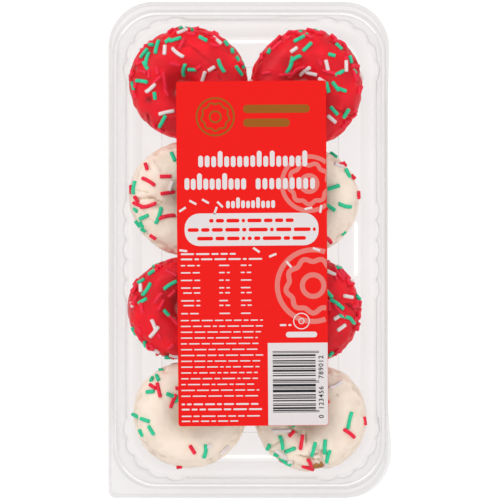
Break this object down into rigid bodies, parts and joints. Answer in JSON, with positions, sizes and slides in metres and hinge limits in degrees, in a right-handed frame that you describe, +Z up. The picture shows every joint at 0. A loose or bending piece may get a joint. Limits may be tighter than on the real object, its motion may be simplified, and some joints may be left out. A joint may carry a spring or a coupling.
{
  "type": "box of doughnuts",
  "caption": "Clear hinged plastic box of iced mini doughnuts, red and white, with red, green and white sprinkles and a red label on its lid",
  "frame": {"origin": "middle of the surface that the box stands on, under the middle of its outline", "axes": "+Y along the box to its far end, +X toward the long side with the hinge, +Z up"},
  "size_m": [0.131, 0.2302, 0.0358],
  "materials": {
    "clear_plastic": "clear, thin thermoformed sheet, glossy",
    "label_print": "red printed paper label, slightly satin",
    "cake": "golden-brown fried crust, matte",
    "red_icing": "bright red icing, satin",
    "white_icing": "warm white icing, satin",
    "green_sugar": "green sugar sprinkles, matte",
    "white_sugar": "white sugar sprinkles, matte",
    "crimson_sugar": "crimson sugar sprinkles, matte",
    "white_ink": "off-white print",
    "gold_ink": "brown-gold print",
    "coral_ink": "coral print",
    "black_ink": "black print"
  },
  "bodies": {
    "box_base": {"tray": "clear_plastic", "doughnut_1_cake": "cake", "doughnut_1_icing": "red_icing", "doughnut_2_cake": "cake", "doughnut_2_icing": "red_icing", "doughnut_3_cake": "cake", "doughnut_3_icing": "white_icing", "doughnut_4_cake": "cake", "doughnut_4_icing": "white_icing", "doughnut_5_cake": "cake", "doughnut_5_icing": "red_icing", "doughnut_6_cake": "cake", "doughnut_6_icing": "red_icing", "doughnut_7_cake": "cake", "doughnut_7_icing": "white_icing", "doughnut_8_cake": "cake", "doughnut_8_icing": "white_icing"},
    "box_lid": {"lid": "clear_plastic", "label": "label_print"}
  },
  "joints": [
    {"name": "lid_hinge", "type": "hinge", "parent": "box_base", "child": "box_lid", "pos_m": [0.0642, 0, 0.01835], "axis": [0, 1, 0], "range_deg": [0, 180]}
  ]
}
